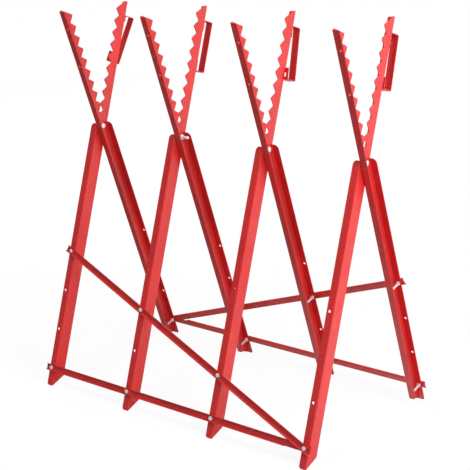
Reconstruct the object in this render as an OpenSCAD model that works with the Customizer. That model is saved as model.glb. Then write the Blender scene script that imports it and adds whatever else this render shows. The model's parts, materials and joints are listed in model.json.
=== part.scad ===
// Log saw stand: four crossed pairs of pressed sheet-steel legs on common pivot bolts,
// tied by a lower rail and a diagonal brace on either side, with a toothed cradle on top.
// X runs along the log, Y from the front feet to the rear feet, Z is up from the floor.

/* [Stand] */
// Distance from one pair of legs to the next
frame_pitch = 290; // [230:1:340]
// Lean of every leg from the vertical, in degrees
leg_angle = 18.7; // [15:0.1:24]

/* [Legs] */
// Leg from the foot tip to the top end
leg_len = 1090; // [1040:1:1180]
// Pivot bolt from the foot tip, along the leg
pivot_from_foot = 738; // [690:1:780]
// Width of the leg's web, over the bends
web_w = 40; // [34:0.5:48]
// Depth of the leg's side flanges, over the bend
flange_w = 20; // [17:0.5:25]
// Sheet thickness of legs and braces
sheet = 1.5; // [1:0.1:2.5]
// Inside radius of the bends
bend_r = 1.5; // [0.8:0.1:3]
// First flange hole from either end of the leg
hole_end = 50; // [40:1:60]
// Distance between flange holes
hole_pitch = 110; // [95:1:125]
// Flange holes from the web's contact face
hole_from_web = 12; // [10:0.5:13]
// Rise of the foot's cut from the tip to the inner edge
foot_rise = 31; // [22:1:45]
// Rounded free corner of the flanges at the foot
foot_corner_r = 7; // [3:0.5:9]
// Rounded free corner where the short flange starts
short_corner_r = 12; // [5:0.5:14]
// Rounded free corner of the long flange at the top
top_corner_r = 4; // [1.5:0.5:6]
// Short flange's start above the pivot
short_start = 3; // [-15:1:12]
// Square part of the top end, from the long flange's outer face
top_land = 9; // [6:0.5:16]
// Slope of the top end's cut from the leg's line, in degrees
top_slope = 50; // [35:1:65]

/* [Teeth] */
// Distance between tooth tips
tooth_pitch = 33.2; // [26:0.2:42]
// Slope of the tooth flanks from the leg's line, in degrees
tooth_flank = 44; // [34:1:48]
// Rounding of the tooth tips
tooth_tip_r = 3.5; // [2:0.1:5]
// Rounding of the tooth roots
tooth_root_r = 2.5; // [1.5:0.1:4]

/* [Braces] */
// Width of the channel's web
brace_w = 18; // [16:0.5:22]
// Depth of the channel's lips
brace_d = 6; // [5:0.5:12]
// Rounded free corner of the lips at either end
brace_corner_r = 3.5; // [1:0.5:6]
// Last hole from the end of a brace
brace_end = 18; // [12:0.5:24]

/* [Keepers] */
// Width of the bent strap
keeper_w = 20; // [16:0.5:26]
// Strap thickness
keeper_t = 2; // [1.5:0.1:3]
// Clear depth from the leg to the strap's back
keeper_depth = 32; // [24:0.5:40]
// Length of the turned-in ears
keeper_ear = 30; // [24:0.5:34]
// Ear hole from the strap's end
keeper_end = 13; // [10:0.5:15]
// Inside radius of the strap's bends
keeper_bend_r = 2; // [1:0.1:4]
// Length of the slot in the lower ear
keeper_slot = 11; // [8:0.5:14]
// Swing of each keeper's foot along the log, in degrees
keeper_angles = [-11.6, 0, 5.6, 2.4]; // [-30:0.1:30]

/* [Fasteners] */
// Diameter of the brace and keeper bolts
bolt_d = 6; // [5:0.5:7]
// Their heads and nuts across flats
hex_af = 10; // [8:0.5:11]
// Height of their heads
head_h = 4; // [3:0.1:5]
// Height of their nuts
nut_h = 5; // [4:0.1:6]
// Brace bolts under the head
bolt_len = 30; // [24:1:34]
// Keeper bolts under the head
keeper_bolt_len = 16; // [14:0.5:22]
// Diameter of the pivot bolts
pivot_d = 8; // [6:0.5:10]
// Pivot heads and nuts across flats
pivot_af = 13; // [10:0.5:17]
// Height of the pivot heads
pivot_head_h = 5.3; // [4:0.1:7]
// Height of the pivot nuts
pivot_nut_h = 6.5; // [5:0.1:8]
// Pivot bolts under the head
pivot_len = 30; // [20:1:34]

/* [Fits] */
// Radial clearance of bolts in flange and brace holes
hole_clear = 0.5; // [0.2:0.1:1]
// Radial running fit on pivot and keeper bolts
run_fit = 0.05; // [0.02:0.01:0.1]
// Gap between the webs of a crossed pair
web_gap = 0.4; // [0.3:0.05:0.8]
// Gap beside every turning piece
swing_gap = 0.3; // [0.2:0.05:0.6]

/* [Hidden] */
// Pairs of legs in the row
pairs = 4;
// Overlap of a web on its bend
seam = 0.02;
// Seat of a diagonal on the flange it crosses
seat_gap = 0.02;
// Room between a diagonal and the rail's lips at the shared bolt
lap_clear = 3;
// How far every cut runs past the metal
overrun = 5;
// Steps in a rounded tooth tip or root
tooth_steps = 6;
$fn = 48;

bend_out = sheet + bend_r;
half_w = web_w / 2;
foot_t = -pivot_from_foot;
top_t = leg_len - pivot_from_foot;
pivot_z = pivot_from_foot * cos(leg_angle) - half_w * sin(leg_angle);
hole_d = bolt_d + 2 * hole_clear;
run_d = bolt_d + 2 * run_fit;
pivot_run_d = pivot_d + 2 * run_fit;
hole_x = web_gap / 2 + hole_from_web;
web_face = web_gap / 2 + sheet;

// Teeth of the two legs meet at the foot of the cradle
tooth_first = half_w / tan(leg_angle);
tooth_gap_sum = tooth_tip_r + tooth_root_r;
flank_run = tooth_pitch / 2 - tooth_gap_sum * sin(tooth_flank);
tip_axis = half_w - tooth_tip_r;
root_axis = tip_axis + tooth_gap_sum * cos(tooth_flank) - flank_run * tan(tooth_flank);
root_e = root_axis - tooth_root_r;
tooth_room = top_t - tooth_first - tooth_pitch / 2;
tooth_count = floor(tooth_room / tooth_pitch) + 1;

// The foot rests on the end of its outer flange, and the web rises from there
floor_rise = sheet * tan(leg_angle);
foot_slope = (foot_rise - floor_rise) / (web_w - sheet);

// Braces run from hole to hole along the row
span = (pairs - 1) * frame_pitch;
diag_rise = (pairs - 1) * hole_pitch;
diag_angle = atan2(diag_rise, span);
diag_len = sqrt(span * span + diag_rise * diag_rise);
lap_reach = brace_w / 2 + brace_w / 2 / cos(diag_angle) + lap_clear;
lap_run = lap_reach / sin(diag_angle);
diag_lift = (sheet + seat_gap) * diag_len / (diag_len - lap_run);
diag_tilt = atan2(diag_lift, diag_len);
lap_len = brace_end + lap_reach / tan(diag_angle);

steel_red = "#d3282f";
zinc = "#e4e4e0";

// Place of a pair along the row, counted from the left
function pair_x(i) = (i - (pairs + 1) / 2) * frame_pitch;

// Lower flange hole, counted up from the foot, and upper one, counted down from the top
function low_hole(k) = foot_t + hole_end + k * hole_pitch;
function high_hole(k) = top_t - hole_end - k * hole_pitch;

// How far a diagonal stands off the flange at a pair
function diag_off(i) = diag_lift * (pairs - i) / (pairs - 1);

// Half circle of a tooth tip or root: side 1 for a tip, -1 for a root
function tooth_arc(e, t, r, side, from, to) = [
    for (s = [0 : tooth_steps])
        let (a = from + (to - from) * s / tooth_steps)
            [e + side * r * cos(a), t + r * sin(a)]
];

function tip_t(k) = tooth_first + k * tooth_pitch;
function root_t(k) = tip_t(k) + tooth_pitch / 2;
function tooth_tip(k, from) = tooth_arc(tip_axis, tip_t(k), tooth_tip_r, 1, from, tooth_flank);
function tooth_root(k, to) = tooth_arc(root_axis, root_t(k), tooth_root_r, -1, -tooth_flank, to);

// Toothed edge from the plain web up to the top end
tooth_edge = concat(
    tooth_tip(-1, 0),
    [for (k = [0 : tooth_count - 1]) each concat(tooth_root(k - 1, tooth_flank), tooth_tip(k, -tooth_flank))],
    tooth_root(tooth_count - 1, 0),
    [[root_e, top_t]]
);

// Flat shapes

// Quarter of a bent sheet's ring, in the corner of both axes
module bend_ring(inside, wall) {
    intersection() {
        difference() {
            circle(inside + wall);
            circle(inside);
        }
        square(inside + wall);
    }
}

// Round-cornered rectangle from the origin
module round_rect(w, h, r) {
    translate([r, 0])
        square([w - 2 * r, h]);
    translate([0, r])
        square([w, h - 2 * r]);
    for (x = [r, w - r], y = [r, h - r])
        translate([x, y])
            circle(r);
}

// What a rounded corner takes off: the corner itself is at the origin
module corner_waste(r) {
    translate([-r, -r])
        difference() {
            square(r + overrun);
            circle(r);
        }
}

// Flange and its bend across the leg, along the web's lower edge
module flange_section() {
    translate([bend_out, -half_w])
        square([flange_w - bend_out, sheet]);
    translate([bend_out, bend_out - half_w])
        rotate(180)
            bend_ring(bend_r, sheet);
    translate([0, bend_out - half_w])
        square([sheet, seam]);
    translate([bend_out - seam, -half_w])
        square([2 * seam, sheet]);
}

// Channel across a brace: web on the first axis, lips away from the leg
module channel_section() {
    translate([0, bend_out - brace_w / 2])
        square([sheet, brace_w - 2 * bend_out]);
    for (side = [0, 1])
        mirror([0, side]) {
            translate([bend_out, bend_out - brace_w / 2])
                rotate(180)
                    bend_ring(bend_r, sheet);
            translate([bend_out, -brace_w / 2])
                square([brace_d - bend_out, sheet]);
            translate([bend_out - seam, -brace_w / 2])
                square([2 * seam, sheet]);
            translate([0, bend_out - brace_w / 2 - seam])
                square([sheet, 2 * seam]);
        }
}

// Web of a leg between its bends, with the teeth on its upper inner edge
module web_outline() {
    polygon(concat(
        [
            [bend_out - half_w, top_t],
            [bend_out - half_w, foot_t],
            [half_w - bend_out, foot_t],
            [half_w - bend_out, short_start],
            [half_w, short_start]
        ],
        tooth_edge
    ));
}

// Waste below the foot: level under the outer flange, rising along the web
module foot_waste() {
    floor_t = foot_t - overrun * tan(leg_angle);
    inner_e = -half_w - overrun;
    polygon([
        [half_w + overrun, floor_t],
        [half_w - sheet, foot_t + floor_rise],
        [inner_e, foot_t + floor_rise + (web_w - sheet + overrun) * foot_slope],
        [inner_e, foot_t - 2 * overrun],
        [half_w + overrun, foot_t - 2 * overrun]
    ]);
}

// Waste above the web: the top end falls from its square part to the last tooth
module top_waste() {
    land_e = top_land - half_w;
    fall = (web_w - top_land + overrun) / tan(top_slope);
    polygon([
        [land_e, top_t],
        [half_w + overrun, top_t - fall],
        [half_w + overrun, top_t + overrun],
        [land_e, top_t + overrun]
    ]);
}

// Shapes along the leg: x from the contact face, y across, z up the leg from the pivot

// Extrudes a shape drawn across and up the leg along x
module along_row(len) {
    rotate([90, 0, 90])
        linear_extrude(len)
            children();
}

// Hole along the leg's cross direction
module flange_hole(e, t, d) {
    translate([hole_from_web, e - overrun, t])
        rotate([-90, 0, 0])
            cylinder(h = 2 * overrun, d = d);
}

// Rounds one free corner of a flange: end 1 for a top corner, -1 for a bottom corner
module flange_corner(e, t, r, end) {
    translate([flange_w, e, t])
        mirror([0, 0, end < 0 ? 1 : 0])
            rotate([90, 0, 0])
                linear_extrude(2 * bend_out, center = true)
                    corner_waste(r);
}

// One pressed leg: long flange on one edge, short flange on the other edge below the pivot
module leg_sheet() {
    difference() {
        union() {
            translate([0, 0, foot_t])
                linear_extrude(leg_len)
                    flange_section();
            translate([0, 0, foot_t - overrun])
                linear_extrude(short_start - foot_t + overrun)
                    mirror([0, 1])
                        flange_section();
            along_row(sheet)
                web_outline();
        }
        translate([-overrun, 0, 0])
            along_row(flange_w + 2 * overrun)
                foot_waste();
        translate([-overrun, 0, 0])
            along_row(flange_w + 2 * overrun)
                top_waste();
        flange_corner(half_w, foot_t, foot_corner_r, -1);
        flange_corner(-half_w, foot_t + foot_rise, foot_corner_r, -1);
        flange_corner(half_w, short_start, short_corner_r, 1);
        flange_corner(-half_w, top_t, top_corner_r, 1);
        for (k = [0 : 3])
            flange_hole(half_w, low_hole(k), hole_d);
        for (k = [0 : 1])
            flange_hole(-half_w, high_hole(k), hole_d);
        translate([-overrun, 0, 0])
            rotate([0, 90, 0])
                cylinder(h = 2 * overrun, d = pivot_run_d);
    }
}

// Places in the stand

// Plane of the rear legs: x along the row, y out of the flange, z up the leg
module rear_side() {
    translate([0, 0, pivot_z])
        rotate([leg_angle, 0, 0])
            children();
}

// Plane of the front legs, the rear plane turned half round
module front_side() {
    rotate([0, 0, 180])
        rear_side()
            children();
}

// Contact face of the pair's leg, on the rear side
module at_leg(i) {
    translate([pair_x(i) + web_gap / 2, 0, 0])
        children();
}

// Braces, drawn on the rear side

// What the rounded corners take off the lips of a bar that starts at the origin
module lip_waste(len) {
    for (end = [0, 1])
        translate([end * len, brace_d, -brace_w / 2 - overrun])
            mirror([1 - end, 0, 0])
                linear_extrude(brace_w + 2 * overrun)
                    corner_waste(brace_corner_r);
}

// Lower rail, with its lips off where the diagonal lies on it
module rail_bar() {
    start = pair_x(pairs) - span + hole_x - brace_end;
    rail_t = low_hole(0);
    translate([start, half_w, rail_t])
        difference() {
            along_row(span + 2 * brace_end)
                channel_section();
            translate([-overrun, sheet, -brace_w / 2 - overrun])
                cube([lap_len + overrun, brace_d + overrun, brace_w + 2 * overrun]);
            lip_waste(span + 2 * brace_end);
            for (i = [1 : pairs])
                translate([brace_end + (i - 1) * frame_pitch, -overrun, 0])
                    rotate([-90, 0, 0])
                        cylinder(h = 2 * overrun, d = hole_d);
        }
}

// Diagonal from the lowest hole of the first pair to the highest of the last
module diagonal_bar() {
    hole_run = diag_len / (pairs - 1);
    translate([pair_x(pairs) + hole_x, half_w + seat_gap, low_hole(pairs - 1)])
        rotate([0, -diag_angle, 0])
            rotate([0, 0, -diag_tilt])
                difference() {
                    translate([-diag_len - brace_end, 0, 0])
                        along_row(diag_len + 2 * brace_end)
                            channel_section();
                    translate([-diag_len - brace_end, 0, 0])
                        lip_waste(diag_len + 2 * brace_end);
                    for (i = [1 : pairs])
                        translate([(i - pairs) * hole_run, -overrun, 0])
                            rotate([-90, 0, 0])
                                cylinder(h = 2 * overrun, d = hole_d);
                }
}

// Fasteners: axis z, seat at the origin

// Six-sided body with its outer corners turned off
module hex_body(af, h) {
    intersection() {
        cylinder(h = h, d = af / cos(30), $fn = 6);
        cylinder(h = h, r1 = af / 2 + h, r2 = af / 2);
    }
}

// Bolt with its head above the seat
module bolt(len, d = bolt_d, af = hex_af, h = head_h) {
    hex_body(af, h);
    translate([0, 0, -len])
        cylinder(h = len + h / 2, d = d);
}

// Nut standing on its seat, bored to the bolt
module nut(bore = run_d, af = hex_af, h = nut_h) {
    difference() {
        hex_body(af, h);
        translate([0, 0, -overrun])
            cylinder(h = h + 2 * overrun, d = bore);
    }
}

// Where the braces of one side are bolted: pair, hole and stand-off of the seat
brace_seats = concat(
    [for (i = [2 : pairs]) [i, 0, sheet]],
    [for (i = [1 : pairs]) [i, i - 1, sheet + 2 * seat_gap + diag_off(i)]]
);

module brace_bolts() {
    for (s = brace_seats)
        translate([pair_x(s[0]) + hole_x, half_w + s[2], low_hole(s[1])])
            rotate([-90, 0, 0])
                bolt(bolt_len);
}

module brace_nuts() {
    for (s = brace_seats)
        translate([pair_x(s[0]) + hole_x, half_w - sheet, low_hole(s[1])])
            rotate([90, 0, 0])
                nut();
}

// Keepers hang behind the front legs' upper arms

// Upper flange hole of a front leg, on the outer face
module at_keeper(i) {
    at_leg(pairs + 1 - i)
        translate([hole_from_web, -half_w, high_hole(0)])
            children();
}

// Bent strap from the side: leg on the left, upper ear hole level with the origin
module keeper_section() {
    height = hole_pitch + 2 * keeper_end;
    depth = keeper_depth + keeper_t - swing_gap;
    opening = height - 2 * keeper_ear;
    translate([swing_gap, keeper_end - height])
        difference() {
            round_rect(depth, height, keeper_bend_r + keeper_t);
            translate([keeper_t, keeper_t])
                round_rect(depth - 2 * keeper_t, height - 2 * keeper_t, keeper_bend_r);
            translate([-overrun, keeper_ear])
                square([keeper_t + overrun, opening]);
        }
}

// Round hole through both ears' plane
module ear_hole(t, d) {
    translate([0, 0, t])
        rotate([90, 0, 0])
            cylinder(h = keeper_t + overrun, d = d);
}

// The foot swings along the log for a positive angle
module keeper(i) {
    slot_half = (keeper_slot - hole_d) / 2;
    front_side()
        at_keeper(i)
            rotate([0, keeper_angles[i - 1], 0])
                difference() {
                    translate([-keeper_w / 2, 0, 0])
                        along_row(keeper_w)
                            mirror([1, 0])
                                keeper_section();
                    ear_hole(0, run_d);
                    for (side = [-1, 1])
                        ear_hole(side * slot_half - hole_pitch, hole_d);
                    translate([-hole_d / 2, -keeper_t - overrun, -hole_pitch - slot_half])
                        cube([hole_d, keeper_t + overrun, 2 * slot_half]);
                }
}

// Sub-parts

module rear_leg(i) {
    color(steel_red)
        rear_side()
            at_leg(i)
                leg_sheet();
}

module front_leg(i) {
    color(steel_red)
        front_side()
            at_leg(pairs + 1 - i)
                leg_sheet();
}

module rear_rail() {
    color(steel_red)
        rear_side()
            rail_bar();
}

module rear_diagonal() {
    color(steel_red)
        rear_side()
            diagonal_bar();
}

module front_rail() {
    color(steel_red)
        front_side()
            rail_bar();
}

module front_diagonal() {
    color(steel_red)
        front_side()
            diagonal_bar();
}

// The second pair's bolt is put in from the other side
module at_pivot(i) {
    translate([pair_x(i), 0, pivot_z])
        rotate([0, 0, i == 2 ? 180 : 0])
            rotate([0, 90, 0])
                children();
}

function rear_seat(i) = web_face + (i == 2 ? 0 : swing_gap);
function front_seat(i) = web_face + (i == 2 ? swing_gap : 0);

module pivot_bolts() {
    color(zinc)
        for (i = [1 : pairs])
            at_pivot(i)
                translate([0, 0, rear_seat(i)])
                    bolt(pivot_len, pivot_d, pivot_af, pivot_head_h);
}

module pivot_nuts() {
    color(zinc)
        for (i = [1 : pairs])
            at_pivot(i)
                translate([0, 0, -front_seat(i)])
                    rotate([180, 0, 0])
                        nut(pivot_run_d, pivot_af, pivot_nut_h);
}

module rear_bolts() {
    color(zinc)
        rear_side()
            brace_bolts();
}

module rear_nuts() {
    color(zinc)
        rear_side()
            brace_nuts();
}

module front_bolts() {
    color(zinc)
        front_side()
            brace_bolts();
}

module front_nuts() {
    color(zinc)
        front_side()
            brace_nuts();
}

module keeper_bolts() {
    color(zinc)
        front_side()
            for (i = [1 : pairs])
                at_keeper(i)
                    translate([0, sheet, 0])
                        rotate([-90, 0, 0])
                            bolt(keeper_bolt_len);
}

module keeper_nuts() {
    color(zinc)
        front_side()
            for (i = [1 : pairs])
                at_keeper(i)
                    translate([0, -2 * swing_gap - keeper_t, 0])
                        rotate([90, 0, 0])
                            nut();
}

rear_leg(1);  // rear_leg_1
rear_leg(2);  // rear_leg_2
rear_leg(3);  // rear_leg_3
rear_leg(4);  // rear_leg_4
front_leg(1);  // front_leg_1
front_leg(2);  // front_leg_2
front_leg(3);  // front_leg_3
front_leg(4);  // front_leg_4
rear_rail();
rear_diagonal();
front_rail();
front_diagonal();
color(steel_red) keeper(1);  // keeper_1
color(steel_red) keeper(2);  // keeper_2
color(steel_red) keeper(3);  // keeper_3
color(steel_red) keeper(4);  // keeper_4
pivot_bolts();
pivot_nuts();
rear_bolts();
rear_nuts();
front_bolts();
front_nuts();
keeper_bolts();
keeper_nuts();
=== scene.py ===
import json
import math

import bmesh
import bpy
from mathutils import Matrix, Vector


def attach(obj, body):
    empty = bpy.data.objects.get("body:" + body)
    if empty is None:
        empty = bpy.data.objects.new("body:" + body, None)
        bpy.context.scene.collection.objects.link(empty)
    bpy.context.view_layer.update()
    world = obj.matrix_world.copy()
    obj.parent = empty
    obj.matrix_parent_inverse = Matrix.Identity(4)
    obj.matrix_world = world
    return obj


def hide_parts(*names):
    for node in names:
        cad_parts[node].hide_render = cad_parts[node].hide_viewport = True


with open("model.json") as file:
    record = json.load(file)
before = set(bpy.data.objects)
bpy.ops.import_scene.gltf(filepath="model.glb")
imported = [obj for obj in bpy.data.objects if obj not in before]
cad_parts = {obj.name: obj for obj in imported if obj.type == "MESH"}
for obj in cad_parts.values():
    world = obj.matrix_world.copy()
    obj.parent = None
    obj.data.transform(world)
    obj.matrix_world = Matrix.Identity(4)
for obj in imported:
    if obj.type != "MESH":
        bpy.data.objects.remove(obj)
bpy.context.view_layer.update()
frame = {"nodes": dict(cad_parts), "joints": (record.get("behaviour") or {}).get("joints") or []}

bl_info = {
    "name": "Log Saw Stand",
    "version": (1, 0, 0),
    "blender": (4, 5, 0),
    "location": "View3D > Sidebar > Saw Stand",
    "description": "Dresses a folding log saw stand: red powder coat, zinc bolts and a pale studio",
    "category": "Object",
}

# Nodes of the CAD model that get the red coat
RED_NODES = [name for name in frame["nodes"] if "leg" in name or "rail" in name or "diagonal" in name]
KEEPER_NODES = [name for name in frame["nodes"] if name.startswith("keeper_") and name[-1].isdigit()]

# Groups of bolts and nuts, with the body that each rides on
GROUP_BODIES = {
    "pivot": "front_half",
    "rear": "rear_half",
    "front": "front_half",
    "keeper": "front_half",
}

# Direction of the holes that each group sits in
KEEPER_AXIS = Vector(next(j["axis"] for j in frame["joints"] if j["name"].startswith("keeper_swing")))
HOLE_AXES = {
    "pivot": Vector((1, 0, 0)),
    "rear": Vector((0, KEEPER_AXIS.y, -KEEPER_AXIS.z)),
    "front": KEEPER_AXIS,
    "keeper": KEEPER_AXIS,
}

# Distances in metres within which points are joined, and within which they count as lying on a cut
MERGE = 1e-6
CUT = 1e-7

# Decimals of a metre by which solids are put in order
PLACE_DECIMALS = 3

# Radius in metres up to which a point lies on a bolt's axis
ON_AXIS = 1e-4

# Share of the shank's radius beyond which a point belongs to the head
HEAD_SHARE = 1.4

# Six-sided heads and nuts: number of flats, turn from one to the next and slope of the chamfer, in degrees
FLATS = 6
FLAT_TURN = 360 / FLATS
CHAMFER = 30

# Widest and flat radius of the turned blank, as shares of the hexagon's corner and flat radius
CORNER_SHARE = 1.02
FACE_SHARE = 0.95

# Steps of a turned body
TURNED_STEPS = 48

# Start and end of a thread's crest, as shares of the pitch
CREST_START = 0.42
CREST_END = 0.58

# Growth of the radius per height at the shank's chamfered end
END_SLOPE = 0.9

# Angle in degrees up to which neighbouring faces are shaded as one
SMOOTH_ANGLE = 35

# Turn from one head or nut to the next, as a share of a flat's turn, and the nuts' lead in such turns
NEXT_TURN = 0.381966
NUT_LEAD = 3

# Noise patterns: scale per metre, detail and roughness; the scale of the orange peel comes from its size
DRIFT = (7.0, 4.0, 0.55)
FLECK = (420.0, 2.0, 0.6)
RUB = (38.0, 5.0, 0.62)
PEEL = (2.0, 0.45)
CLOUD = (260.0, 4.0, 0.6)
GRAIN = (2600.0, 2.0, 0.5)

# Spreads of a value: the range that it comes from, and the range that it goes to
EDGE_SPREAD = (0.985, 0.80, 0.0, 1.0)
RUB_SPREAD = (0.40, 0.66, 0.15, 0.95)
DRIFT_SPREAD = (0.34, 0.66, 0.0, 1.0)
FLECK_SPREAD = (0.55, 0.80, 0.0, 0.22)
CLOUD_SPREAD = (0.38, 0.68, 0.0, 1.0)
ZINC_GLOSS_SPREAD = (0.3, 0.7, 0.24, 0.40)

# Range of the rub pattern that the coat's roughness follows
RUB_RANGE = (0.30, 0.70)

# Bumps, with their distance in metres
PEEL_BUMP = {"Strength": 0.22, "Distance": 0.0004}
GRAIN_BUMP = {"Strength": 0.15, "Distance": 0.0001}

# Fixed settings of the two finishes
EDGE_SAMPLES = 6
COAT_SPECULAR = 0.8
ZINC_METALLIC = 0.2

# Sockets of a Mix node, which bear the same names for values and for colours
MIX_FACTOR = 0
MIX_VALUES = (2, 3)
MIX_VALUE = 0
MIX_COLOURS = (6, 7)
MIX_COLOUR = 2

# Alpha of a fixed colour, and plain white with it
OPAQUE = 1.0
WHITE = (1, 1, 1, 1)

# Direction in which what shiny surfaces mirror grows lighter, from the front left to the back right
MIRROR_WAY = (0.6, 0.8, 0.0)

# Where along it the mirrored room, by direction, and the floor, in metres, are darkest and lightest
ROOM_SPAN = (-0.3, 0.8)
FLOOR_SPAN = (-0.35, 0.40)

# Share of the room's mirrored brightness in front that the floor has there
FLOOR_MIRROR_SHARE = 0.25

# Lamp light on the floor, as a share of white, near the stand and far from it, and those distances in metres
FLOOR_LIGHT_NEAR = 0.84
FLOOR_LIGHT_FAR = 0.15
FLOOR_NEAR = 0.8
FLOOR_FAR = 6.0

# Half the width of the floor, in metres
FLOOR_HALF = 30

# Lamps: place, target, width and height in metres, and whether shiny surfaces mirror them
LAMPS = {
    "key": ((3.2, -0.6, 2.4), (0, 0, 0.6), 1.8, 1.8, False),
    "sheen": ((2.4, 2.6, 0.45), (0, 0, 0.5), 3.0, 0.8, False),
    "front": ((-0.2, -1.6, 4.0), (0, 0, 0.5), 1.4, 1.4, True),
    "fill": ((-4.0, 1.6, 1.8), (0, 0, 0.5), 2.4, 2.4, False),
}

# Camera: width of the sensor in millimetres, and reach in metres
SENSOR_WIDTH = 36
CAMERA_REACH = 100


class SawStandPaint(bpy.types.PropertyGroup):
    """Powder coat on the pressed steel"""
    red: bpy.props.FloatVectorProperty(
        name="Red", description="Main colour of the powder coat",
        default=(0.75, 0.026, 0.024), size=3, min=0, max=1, subtype="COLOR")
    deep_red: bpy.props.FloatVectorProperty(
        name="Deep Red", description="Colour where the coat lies thicker",
        default=(0.65, 0.020, 0.019), size=3, min=0, max=1, subtype="COLOR")
    edge_red: bpy.props.FloatVectorProperty(
        name="Edge Red", description="Colour of the thin coat along cut edges",
        default=(0.78, 0.065, 0.06), size=3, min=0, max=1, subtype="COLOR")
    gloss_low: bpy.props.FloatProperty(
        name="Lowest Roughness", description="Roughness of the smoothest coat",
        default=0.36, min=0, max=1, subtype="FACTOR")
    gloss_high: bpy.props.FloatProperty(
        name="Highest Roughness", description="Roughness of the dullest coat",
        default=0.50, min=0, max=1, subtype="FACTOR")
    peel: bpy.props.FloatProperty(
        name="Orange Peel", description="Distance between the waves of the baked coat",
        default=0.0022, min=0.0005, max=0.01, subtype="DISTANCE", unit="LENGTH")
    edge: bpy.props.FloatProperty(
        name="Edge Rounding", description="Rounding that the coat gives to cut edges",
        default=0.0007, min=0, max=0.003, subtype="DISTANCE", unit="LENGTH")


class SawStandZinc(bpy.types.PropertyGroup):
    """Zinc plate and thread of the bolts and nuts"""
    bright: bpy.props.FloatVectorProperty(
        name="Bright Zinc", description="Colour of clean zinc plate",
        default=(0.97, 0.97, 0.96), size=3, min=0, max=1, subtype="COLOR")
    dull: bpy.props.FloatVectorProperty(
        name="Dull Zinc", description="Colour of clouded zinc plate",
        default=(0.90, 0.90, 0.89), size=3, min=0, max=1, subtype="COLOR")
    pitch: bpy.props.FloatProperty(
        name="Thread Pitch", description="Pitch of the thread on the brace and keeper bolts",
        default=0.001, min=0.0005, max=0.002, subtype="DISTANCE", unit="LENGTH")
    pivot_pitch: bpy.props.FloatProperty(
        name="Pivot Thread Pitch", description="Pitch of the thread on the pivot bolts",
        default=0.00125, min=0.0005, max=0.002, subtype="DISTANCE", unit="LENGTH")
    depth_share: bpy.props.FloatProperty(
        name="Thread Depth", description="Depth of a thread as a share of its pitch",
        default=0.613, min=0.2, max=0.9, subtype="FACTOR")
    turn_steps: bpy.props.IntProperty(
        name="Steps per Turn", description="Steps in one turn of the thread", default=20, min=8, max=48)
    washer_face: bpy.props.FloatProperty(
        name="Washer Face", description="Height of the face under heads, and depth of the nuts' countersink",
        default=0.0004, min=0, max=0.001, subtype="DISTANCE", unit="LENGTH")


class SawStandStage(bpy.types.PropertyGroup):
    """Room, floor, lamps and camera"""
    eye: bpy.props.FloatVectorProperty(
        name="Camera Place", description="Where the camera stands",
        default=(2.0077, -2.3951, 1.3704), size=3, subtype="TRANSLATION", unit="LENGTH")
    turn: bpy.props.FloatProperty(
        name="Camera Turn", description="Turn of the camera about the vertical",
        default=math.radians(39.521), subtype="ANGLE", unit="ROTATION")
    dip: bpy.props.FloatProperty(
        name="Camera Dip", description="Dip of the camera below the horizon",
        default=math.radians(16.50), subtype="ANGLE", unit="ROTATION")
    roll: bpy.props.FloatProperty(
        name="Camera Roll", description="Roll of the camera about its view",
        default=math.radians(-1.853), subtype="ANGLE", unit="ROTATION")
    lens: bpy.props.FloatProperty(
        name="Lens", description="Focal length on a 36 mm wide sensor",
        default=95.15, min=10, max=300, unit="CAMERA")
    key_power: bpy.props.FloatProperty(
        name="Key Lamp", description="Power of the large lamp high on the right",
        default=103, min=0, unit="POWER")
    sheen_power: bpy.props.FloatProperty(
        name="Sheen Lamp", description="Power of the low lamp behind on the right",
        default=46, min=0, unit="POWER")
    front_power: bpy.props.FloatProperty(
        name="Front Lamp", description="Power of the lamp high in front",
        default=56, min=0, unit="POWER")
    fill_power: bpy.props.FloatProperty(
        name="Fill Lamp", description="Power of the lamp behind on the left",
        default=80, min=0, unit="POWER")
    sky: bpy.props.FloatProperty(
        name="Room Light", description="Strength of the light from all round", default=0.10, min=0, max=2)
    mirror_front: bpy.props.FloatProperty(
        name="Front Mirror Light", description="Brightness that shiny surfaces find in front of the stand",
        default=0.25, min=0, max=1, subtype="FACTOR")
    mirror_back: bpy.props.FloatProperty(
        name="Back Mirror Light", description="Brightness that shiny surfaces find behind the stand",
        default=1.0, min=0, max=1, subtype="FACTOR")
    floor_grey: bpy.props.FloatProperty(
        name="Floor", description="Paleness of the floor", default=0.7, min=0, max=1, subtype="FACTOR")
    floor_shade: bpy.props.FloatProperty(
        name="Shadow", description="Share of the floor's brightness that a shadow can take",
        default=0.12, min=0, max=1, subtype="FACTOR")


# Node trees

def bare_tree(owner, output):
    """Node tree of a material or world with nothing but its output, and the socket to fill."""
    owner.use_nodes = True
    tree = owner.node_tree
    tree.nodes.clear()
    out = tree.nodes.new(output)
    return tree, out.inputs["Surface"]


def coat_material(name):
    """Material with an empty tree but for its shader and output."""
    mat = bpy.data.materials.new(name)
    tree, surface = bare_tree(mat, "ShaderNodeOutputMaterial")
    shader = tree.nodes.new("ShaderNodeBsdfPrincipled")
    tree.links.new(shader.outputs["BSDF"], surface)
    return mat, tree, shader


def add(tree, kind, **settings):
    """Node of that kind with its settings and unlinked sockets filled."""
    node = tree.nodes.new(kind)
    for key, value in settings.items():
        if key in node.inputs:
            node.inputs[key].default_value = value
        else:
            setattr(node, key, value)
    return node


def feed(tree, value, socket):
    """Links another node's socket to a socket, or sets a fixed value on it."""
    if isinstance(value, bpy.types.NodeSocket):
        tree.links.new(value, socket)
    else:
        socket.default_value = value


def noise(tree, place, scale, detail, roughness):
    """Noise on the piece's own coordinates."""
    node = add(tree, "ShaderNodeTexNoise", Scale=scale, Detail=detail, Roughness=roughness)
    tree.links.new(place.outputs["Object"], node.inputs["Vector"])
    return node


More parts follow.
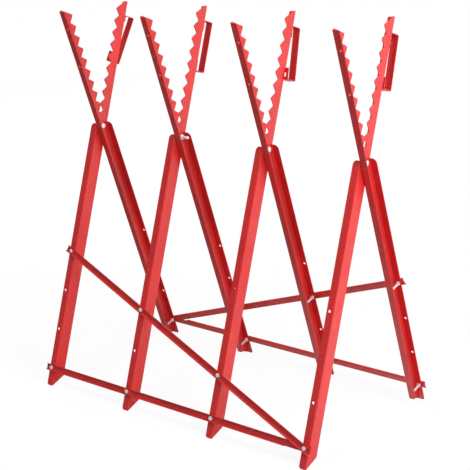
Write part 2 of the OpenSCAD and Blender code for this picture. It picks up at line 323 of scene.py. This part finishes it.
def spread(tree, source, low, high, to_low, to_high):
    """Maps a value from one range to another."""
    node = add(tree, "ShaderNodeMapRange", clamp=True)
    for key, value in (("From Min", low), ("From Max", high), ("To Min", to_low), ("To Max", to_high)):
        node.inputs[key].default_value = value
    tree.links.new(source, node.inputs["Value"])
    return node.outputs["Result"]


def colour_mix(tree, factor, first, second):
    """Mix of two colours by a socket; a socket or a fixed colour can stand for either."""
    node = tree.nodes.new("ShaderNodeMix")
    node.data_type = "RGBA"
    tree.links.new(factor, node.inputs[MIX_FACTOR])
    for place, value in zip(MIX_COLOURS, (first, second)):
        linked = isinstance(value, bpy.types.NodeSocket)
        feed(tree, value if linked else (*value, OPAQUE), node.inputs[place])
    return node.outputs[MIX_COLOUR]


def value_mix(tree, factor, first, second):
    """Mix of two values by a socket; a socket or a number can stand for either."""
    node = tree.nodes.new("ShaderNodeMix")
    tree.links.new(factor, node.inputs[MIX_FACTOR])
    for place, value in zip(MIX_VALUES, (first, second)):
        feed(tree, value, node.inputs[place])
    return node.outputs[MIX_VALUE]


def multiply(tree, first, second):
    """Product of two values."""
    node = add(tree, "ShaderNodeMath", operation="MULTIPLY")
    tree.links.new(first, node.inputs[0])
    tree.links.new(second, node.inputs[1])
    return node.outputs[0]


def powder_coat(paint):
    """Red powder coat: slow colour drift, fine orange peel and a thin coat on cut edges."""
    mat, tree, shader = coat_material("red_powder_coat")
    place = tree.nodes.new("ShaderNodeTexCoord")
    drift = noise(tree, place, *DRIFT)
    fleck = noise(tree, place, *FLECK)
    wave = noise(tree, place, 1.0 / paint.peel, *PEEL)
    rub = noise(tree, place, *RUB)

    rounded = add(tree, "ShaderNodeBevel", samples=EDGE_SAMPLES, Radius=paint.edge)
    flat = tree.nodes.new("ShaderNodeNewGeometry")
    along = add(tree, "ShaderNodeVectorMath", operation="DOT_PRODUCT")
    tree.links.new(rounded.outputs["Normal"], along.inputs[0])
    tree.links.new(flat.outputs["Normal"], along.inputs[1])
    on_edge = spread(tree, along.outputs["Value"], *EDGE_SPREAD)
    rubbed = multiply(tree, on_edge, spread(tree, rub.outputs["Fac"], *RUB_SPREAD))

    drifted = spread(tree, drift.outputs["Fac"], *DRIFT_SPREAD)
    body = colour_mix(tree, drifted, paint.red, paint.deep_red)
    flecked = spread(tree, fleck.outputs["Fac"], *FLECK_SPREAD)
    specked = colour_mix(tree, flecked, body, paint.deep_red)
    tree.links.new(colour_mix(tree, rubbed, specked, paint.edge_red), shader.inputs["Base Color"])
    gloss = spread(tree, rub.outputs["Fac"], *RUB_RANGE, paint.gloss_low, paint.gloss_high)
    tree.links.new(gloss, shader.inputs["Roughness"])
    peel = add(tree, "ShaderNodeBump", **PEEL_BUMP)
    tree.links.new(wave.outputs["Fac"], peel.inputs["Height"])
    tree.links.new(rounded.outputs["Normal"], peel.inputs["Normal"])
    tree.links.new(peel.outputs["Normal"], shader.inputs["Normal"])
    shader.inputs["Specular IOR Level"].default_value = COAT_SPECULAR
    return mat


def zinc_plate(zinc):
    """Bright zinc: clouded patches, fine grain and a soft metal shine."""
    mat, tree, shader = coat_material("bright_zinc")
    place = tree.nodes.new("ShaderNodeTexCoord")
    cloud = noise(tree, place, *CLOUD)
    grain = noise(tree, place, *GRAIN)
    patch = spread(tree, cloud.outputs["Fac"], *CLOUD_SPREAD)
    tree.links.new(colour_mix(tree, patch, zinc.bright, zinc.dull), shader.inputs["Base Color"])
    gloss = spread(tree, cloud.outputs["Fac"], *ZINC_GLOSS_SPREAD)
    tree.links.new(gloss, shader.inputs["Roughness"])
    bump = add(tree, "ShaderNodeBump", **GRAIN_BUMP)
    tree.links.new(grain.outputs["Fac"], bump.inputs["Height"])
    tree.links.new(bump.outputs["Normal"], shader.inputs["Normal"])
    shader.inputs["Metallic"].default_value = ZINC_METALLIC
    return mat


# Pieces

def new_object(name, data):
    """Object with its data, linked to the scene."""
    obj = bpy.data.objects.new(name, data)
    bpy.context.scene.collection.objects.link(obj)
    return obj


def give(obj, mat):
    """Puts one material on a piece."""
    obj.data.materials.clear()
    obj.data.materials.append(mat)


# Fasteners

def middle(points):
    """Middle of a solid's box, rounded, by which solids are put in order."""
    return tuple(round((min(span) + max(span)) / 2, PLACE_DECIMALS) for span in zip(*points))


def islands(obj):
    """Vertex places of each separate solid in a CAD node, in the order of their middles."""
    bm = bmesh.new()
    bm.from_mesh(obj.data)
    bmesh.ops.remove_doubles(bm, verts=bm.verts[:], dist=MERGE)
    known = set()
    found = []
    for first in bm.verts:
        if first in known:
            continue
        known.add(first)
        stack = [first]
        group = []
        while stack:
            vert = stack.pop()
            group.append(vert.co.copy())
            for edge in vert.link_edges:
                other = edge.other_vert(vert)
                if other not in known:
                    known.add(other)
                    stack.append(other)
        found.append(group)
    bm.free()
    return sorted(found, key=middle)


def axis_line(points, axis):
    """Place of a round solid's axis, and every point's height along it and distance from it."""
    side = axis.orthogonal().normalized()
    over = axis.cross(side)
    mid = Vector((0, 0, 0))
    for way in (side, over):
        spans = [p.dot(way) for p in points]
        mid += way * (min(spans) + max(spans)) / 2
    heights = [(p.dot(axis), (p - mid - axis * p.dot(axis)).length) for p in points]
    return mid, heights


def bolt_places(node, axis):
    """Seat, direction of the head, head height, shank length and radius of every bolt in a CAD node."""
    places = []
    for points in islands(frame["nodes"][node]):
        mid, heights = axis_line(points, axis)
        low, high = min(h for h, _ in heights), max(h for h, _ in heights)
        shank_r = min(r for _, r in heights if r > ON_AXIS)
        flats = [h for h, r in heights if r > shank_r * HEAD_SHARE]
        up = abs(max(flats) - high) < abs(min(flats) - low)
        seat = min(flats) if up else max(flats)
        head = (high - seat) if up else (seat - low)
        shank = (seat - low) if up else (high - seat)
        places.append((mid + axis * seat, axis if up else -axis, head, shank, shank_r))
    return places


def nut_places(node, axis):
    """Middle of the foot, direction, height and bore radius of every nut in a CAD node."""
    places = []
    for points in islands(frame["nodes"][node]):
        mid, heights = axis_line(points, axis)
        low, high = min(h for h, _ in heights), max(h for h, _ in heights)
        places.append((mid + axis * low, axis, high - low, min(r for _, r in heights)))
    return places


def across_flats(node, axis):
    """Width across flats of the heads or nuts in a CAD node."""
    _, heights = axis_line(islands(frame["nodes"][node])[0], axis)
    return max(r for _, r in heights) * math.cos(math.radians(FLAT_TURN / 2)) * 2


def lathe(bm, outline):
    """Turns an outline of (radius, height) pairs about the z axis."""
    verts = [bm.verts.new((r, 0, z)) for r, z in outline]
    edges = [bm.edges.new(pair) for pair in zip(verts, verts[1:])]
    bmesh.ops.spin(
        bm, geom=verts + edges, cent=(0, 0, 0), axis=(0, 0, 1), angle=math.tau, steps=TURNED_STEPS,
        use_merge=True)


def close_up(bm):
    """Joins coincident points, fills open rims and turns the faces outwards."""
    bmesh.ops.remove_doubles(bm, verts=bm.verts[:], dist=MERGE)
    rims = [edge for edge in bm.edges if edge.is_boundary]
    if rims:
        bmesh.ops.holes_fill(bm, edges=rims, sides=0)
    bmesh.ops.recalc_face_normals(bm, faces=bm.faces[:])


def cut_off(bm, place, way):
    """Cuts off what lies beyond a plane, and gives what lies on the cut."""
    cut = bmesh.ops.bisect_plane(
        bm, geom=bm.verts[:] + bm.edges[:] + bm.faces[:], dist=CUT,
        plane_co=place, plane_no=way, clear_outer=True)
    return cut["geom_cut"]


def six_flats(bm, across):
    """Cuts six flats on a turned body."""
    for k in range(FLATS):
        turn = math.radians(FLAT_TURN * k)
        way = Vector((math.cos(turn), math.sin(turn), 0))
        cut = cut_off(bm, way * across / 2, way)
        rim = [part for part in cut if isinstance(part, bmesh.types.BMEdge)]
        bmesh.ops.edgeloop_fill(bm, edges=rim)


def hex_blank(across):
    """Widest radius, flat radius and chamfer height of the turned blank of a head or nut."""
    corner = across / math.sqrt(3) * CORNER_SHARE
    face = across / 2 * FACE_SHARE
    drop = (corner - face) * math.tan(math.radians(CHAMFER))
    return corner, face, drop


def hex_body(across, outline):
    """Body turned from an outline and cut to six flats."""
    bm = bmesh.new()
    lathe(bm, outline)
    close_up(bm)
    six_flats(bm, across)
    close_up(bm)
    return bm


def hex_head(across, height, washer):
    """Bolt head: washer face below, chamfer on top, six flats."""
    corner, face, drop = hex_blank(across)
    return hex_body(across, [
        (0, 0), (face, 0), (face, washer), (corner, washer),
        (corner, height - drop), (face, height), (0, height)])


def hex_nut(across, height, bore, sink):
    """Nut: chamfered on both faces and countersunk at the bore."""
    corner, face, drop = hex_blank(across)
    return hex_body(across, [
        (bore, sink), (bore + sink, 0), (face, 0), (corner, drop), (corner, height - drop),
        (face, height), (bore + sink, height), (bore, height - sink), (bore, sink)])


def screw_shank(radius, length, pitch, depth, steps):
    """Threaded shank below the seat, with a chamfered end."""
    bm = bmesh.new()
    turns = int(length / pitch) + 2
    root = radius - depth
    shares = ((root, 0.0), (radius, CREST_START), (radius, CREST_END), (root, 1.0))
    verts = [bm.verts.new((r, 0, -length - pitch + share * pitch)) for r, share in shares]
    edges = [bm.edges.new(pair) for pair in zip(verts, verts[1:])]
    bmesh.ops.spin(
        bm, geom=verts + edges, cent=(0, 0, 0), axis=(0, 0, 1), dvec=(0, 0, pitch / steps),
        angle=math.tau * turns, steps=steps * turns)
    bmesh.ops.remove_doubles(bm, verts=bm.verts[:], dist=MERGE)
    for height, way in ((-length, -1), (0.0, 1)):
        cut_off(bm, (0, 0, height), (0, 0, way))
    for vert in bm.verts:
        most = root + (vert.co.z + length) * END_SLOPE
        far = math.hypot(vert.co.x, vert.co.y)
        if far > most:
            vert.co.x *= most / far
            vert.co.y *= most / far
    close_up(bm)
    return bm


def place_copies(name, shapes):
    """One piece from several shapes, each set on its seat, laid along a direction and turned about it."""
    whole = bmesh.new()
    for bm, seat, way, spin in shapes:
        copy = bpy.data.meshes.new("copy")
        bm.to_mesh(copy)
        turn = way.to_track_quat("Z", "Y").to_matrix().to_4x4() @ Matrix.Rotation(spin, 4, "Z")
        copy.transform(Matrix.Translation(seat) @ turn)
        whole.from_mesh(copy)
        bpy.data.meshes.remove(copy)
    mesh = bpy.data.meshes.new(name)
    whole.to_mesh(mesh)
    whole.free()
    return new_object(name, mesh)


def smooth_by_angle(obj):
    """Smooth shading with sharp edges kept above an angle."""
    mesh = obj.data
    mesh.polygons.foreach_set("use_smooth", [True] * len(mesh.polygons))
    mesh.set_sharp_from_angle(angle=math.radians(SMOOTH_ANGLE))


def settled(index):
    """Turn of one head or nut about its axis, different from its neighbours'."""
    return math.radians(FLAT_TURN) * ((index * NEXT_TURN) % 1.0)


def make_bolts(group, body, zinc, mat):
    """Threaded bolts of one group in place of its plain solids."""
    node = group + "_bolts"
    axis = HOLE_AXES[group]
    places = bolt_places(node, axis)
    across = across_flats(node, axis)
    pitch = zinc.pivot_pitch if group == "pivot" else zinc.pitch
    _, _, head, shank, radius = places[0]
    top = hex_head(across, head, zinc.washer_face)
    stem = screw_shank(radius, shank, pitch, pitch * zinc.depth_share, zinc.turn_steps)
    shapes = []
    for k, (seat, way, *_) in enumerate(places):
        turn = settled(k)
        shapes.append((top, seat, way, turn))
        shapes.append((stem, seat, way, turn))
    obj = place_copies(group + "_bolt_set", shapes)
    top.free()
    stem.free()
    smooth_by_angle(obj)
    give(obj, mat)
    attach(obj, body)
    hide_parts(node)


def make_nuts(group, body, zinc, mat):
    """Chamfered nuts of one group in place of its plain solids."""
    node = group + "_nuts"
    axis = HOLE_AXES[group]
    places = nut_places(node, axis)
    across = across_flats(node, axis)
    _, _, height, bore = places[0]
    nut = hex_nut(across, height, bore, zinc.washer_face)
    shapes = [(nut, foot, way, settled(k + NUT_LEAD)) for k, (foot, way, *_) in enumerate(places)]
    obj = place_copies(group + "_nut_set", shapes)
    nut.free()
    smooth_by_angle(obj)
    give(obj, mat)
    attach(obj, body)
    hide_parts(node)


# Stage

def depth_ramp(tree, source, near, far, low, high):
    """Value that grows from the front left of the room to its back right."""
    place = tree.nodes.new("ShaderNodeTexCoord")
    along = add(tree, "ShaderNodeVectorMath", operation="DOT_PRODUCT")
    tree.links.new(place.outputs[source], along.inputs[0])
    along.inputs[1].default_value = MIRROR_WAY
    return spread(tree, along.outputs["Value"], near, far, low, high)


def pale_room(stage):
    """World that looks white to the camera, mirrors a pale back wall and gives a softer light."""
    world = bpy.data.worlds.new("pale_room")
    bpy.context.scene.world = world
    tree, surface = bare_tree(world, "ShaderNodeOutputWorld")
    path = tree.nodes.new("ShaderNodeLightPath")
    mirrored = depth_ramp(tree, "Generated", *ROOM_SPAN, stage.mirror_front, stage.mirror_back)
    light = value_mix(tree, path.outputs["Is Glossy Ray"], stage.sky, mirrored)
    glow = add(tree, "ShaderNodeBackground", Color=WHITE)
    tree.links.new(value_mix(tree, path.outputs["Is Camera Ray"], light, 1.0), glow.inputs["Strength"])
    tree.links.new(glow.outputs[0], surface)


def floor_coat(stage):
    """Floor that is white to the camera but for a faint shadow, and pale towards the back in mirrors."""
    mat = bpy.data.materials.new("pale_floor")
    tree, surface = bare_tree(mat, "ShaderNodeOutputMaterial")
    path = tree.nodes.new("ShaderNodeLightPath")
    seen = path.outputs["Is Camera Ray"]
    shiny = path.outputs["Is Glossy Ray"]
    dull = tree.nodes.new("ShaderNodeBsdfDiffuse")
    bounce = value_mix(tree, shiny, stage.floor_grey, stage.floor_shade)
    tree.links.new(value_mix(tree, seen, bounce, stage.floor_shade), dull.inputs["Color"])

    glow = tree.nodes.new("ShaderNodeEmission")
    front = stage.mirror_front * FLOOR_MIRROR_SHARE
    mirrored = depth_ramp(tree, "Object", *FLOOR_SPAN, front, stage.mirror_back)
    light = value_mix(tree, shiny, 0.0, mirrored)
    place = tree.nodes.new("ShaderNodeTexCoord")
    away = add(tree, "ShaderNodeVectorMath", operation="LENGTH")
    tree.links.new(place.outputs["Object"], away.inputs[0])
    near_white = 1.0 - stage.floor_shade * FLOOR_LIGHT_NEAR
    far_white = 1.0 - stage.floor_shade * FLOOR_LIGHT_FAR
    white = spread(tree, away.outputs["Value"], FLOOR_NEAR, FLOOR_FAR, near_white, far_white)
    tree.links.new(value_mix(tree, seen, light, white), glow.inputs["Strength"])

    both = tree.nodes.new("ShaderNodeAddShader")
    tree.links.new(dull.outputs[0], both.inputs[0])
    tree.links.new(glow.outputs[0], both.inputs[1])
    tree.links.new(both.outputs[0], surface)
    return mat


def pale_floor(stage):
    """Large pale floor that keeps a faint shadow."""
    bm = bmesh.new()
    bmesh.ops.create_grid(bm, x_segments=1, y_segments=1, size=FLOOR_HALF)
    mesh = bpy.data.meshes.new("floor")
    bm.to_mesh(mesh)
    bm.free()
    floor = new_object("floor", mesh)
    give(floor, floor_coat(stage))


def lamp(name, power, place, target, width, height, mirrored):
    """Soft lamp turned towards a point, mirrored in shiny surfaces or not."""
    data = bpy.data.lights.new(name, "AREA")
    data.energy = power
    data.shape = "RECTANGLE"
    data.size = width
    data.size_y = height
    obj = new_object(name, data)
    obj.location = place
    obj.rotation_mode = "QUATERNION"
    obj.rotation_quaternion = (Vector(target) - Vector(place)).to_track_quat("-Z", "Y")
    obj.visible_camera = False
    obj.visible_glossy = mirrored


def stage_camera(stage):
    """Camera at its place, rolled, dipped and turned as the stage says."""
    data = bpy.data.cameras.new("camera")
    data.sensor_width = SENSOR_WIDTH
    data.lens = stage.lens
    data.clip_end = CAMERA_REACH
    camera = new_object("camera", data)
    camera.rotation_mode = "QUATERNION"
    look = (Matrix.Rotation(stage.turn, 3, "Z") @ Matrix.Rotation(math.pi / 2 - stage.dip, 3, "X")
            @ Matrix.Rotation(stage.roll, 3, "Z"))
    camera.location = stage.eye
    camera.rotation_quaternion = look.to_quaternion()
    return camera


# Operators

class SAWSTAND_OT_red_steel(bpy.types.Operator):
    """Coat the legs, rails and diagonal braces"""
    bl_idname = "sawstand.red_steel"
    bl_label = "Coat Legs and Braces"

    def execute(self, context):
        mat = powder_coat(context.scene.saw_stand_paint)
        for name in RED_NODES:
            give(frame["nodes"][name], mat)
        return {"FINISHED"}


class SAWSTAND_OT_keepers(bpy.types.Operator):
    """Coat the keeper straps"""
    bl_idname = "sawstand.keepers"
    bl_label = "Coat Keepers"

    def execute(self, context):
        mat = bpy.data.materials["red_powder_coat"]
        for name in KEEPER_NODES:
            give(frame["nodes"][name], mat)
        return {"FINISHED"}


class SAWSTAND_OT_bolts(bpy.types.Operator):
    """Make the threaded bolts of pivots, braces and keepers"""
    bl_idname = "sawstand.bolts"
    bl_label = "Make Bolts"

    def execute(self, context):
        zinc = context.scene.saw_stand_zinc
        mat = zinc_plate(zinc)
        for group, body in GROUP_BODIES.items():
            make_bolts(group, body, zinc, mat)
        return {"FINISHED"}


class SAWSTAND_OT_nuts(bpy.types.Operator):
    """Make the nuts of pivots, braces and keepers"""
    bl_idname = "sawstand.nuts"
    bl_label = "Make Nuts"

    def execute(self, context):
        zinc = context.scene.saw_stand_zinc
        mat = bpy.data.materials["bright_zinc"]
        for group, body in GROUP_BODIES.items():
            make_nuts(group, body, zinc, mat)
        return {"FINISHED"}


class SAWSTAND_OT_stage(bpy.types.Operator):
    """Set up the room, the floor, the lamps and the camera"""
    bl_idname = "sawstand.stage"
    bl_label = "Set Up Stage"

    def execute(self, context):
        stage = context.scene.saw_stand_stage
        pale_room(stage)
        pale_floor(stage)
        for name, setting in LAMPS.items():
            lamp(name, getattr(stage, name + "_power"), *setting)
        context.scene.camera = stage_camera(stage)
        context.scene.view_settings.view_transform = "Standard"
        return {"FINISHED"}


class SAWSTAND_PT_panel(bpy.types.Panel):
    """Sizes, colours and steps of the saw stand"""
    bl_label = "Log Saw Stand"
    bl_idname = "SAWSTAND_PT_panel"
    bl_space_type = "VIEW_3D"
    bl_region_type = "UI"
    bl_category = "Saw Stand"

    def draw(self, context):
        for group in GROUPS:
            box = self.layout.box()
            values = getattr(context.scene, group)
            for key in values.__annotations__:
                box.prop(values, key)
        for step in STEPS:
            self.layout.operator(step.bl_idname)


GROUPS = {
    "saw_stand_paint": SawStandPaint,
    "saw_stand_zinc": SawStandZinc,
    "saw_stand_stage": SawStandStage,
}
STEPS = (SAWSTAND_OT_red_steel, SAWSTAND_OT_keepers, SAWSTAND_OT_bolts, SAWSTAND_OT_nuts, SAWSTAND_OT_stage)


def register():
    """Registers the classes and hangs the groups of values on the scene."""
    for cls in (*GROUPS.values(), *STEPS, SAWSTAND_PT_panel):
        bpy.utils.register_class(cls)
    for name, cls in GROUPS.items():
        setattr(bpy.types.Scene, name, bpy.props.PointerProperty(type=cls))


def unregister():
    """Takes away what register has set up."""
    for name in GROUPS:
        delattr(bpy.types.Scene, name)
    for cls in reversed((*GROUPS.values(), *STEPS, SAWSTAND_PT_panel)):
        bpy.utils.unregister_class(cls)


def main():
    """Registers the add-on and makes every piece."""
    register()
    bpy.ops.sawstand.red_steel()
    bpy.ops.sawstand.keepers()
    bpy.ops.sawstand.bolts()
    bpy.ops.sawstand.nuts()
    bpy.ops.sawstand.stage()


if __name__ == "__main__":
    main()
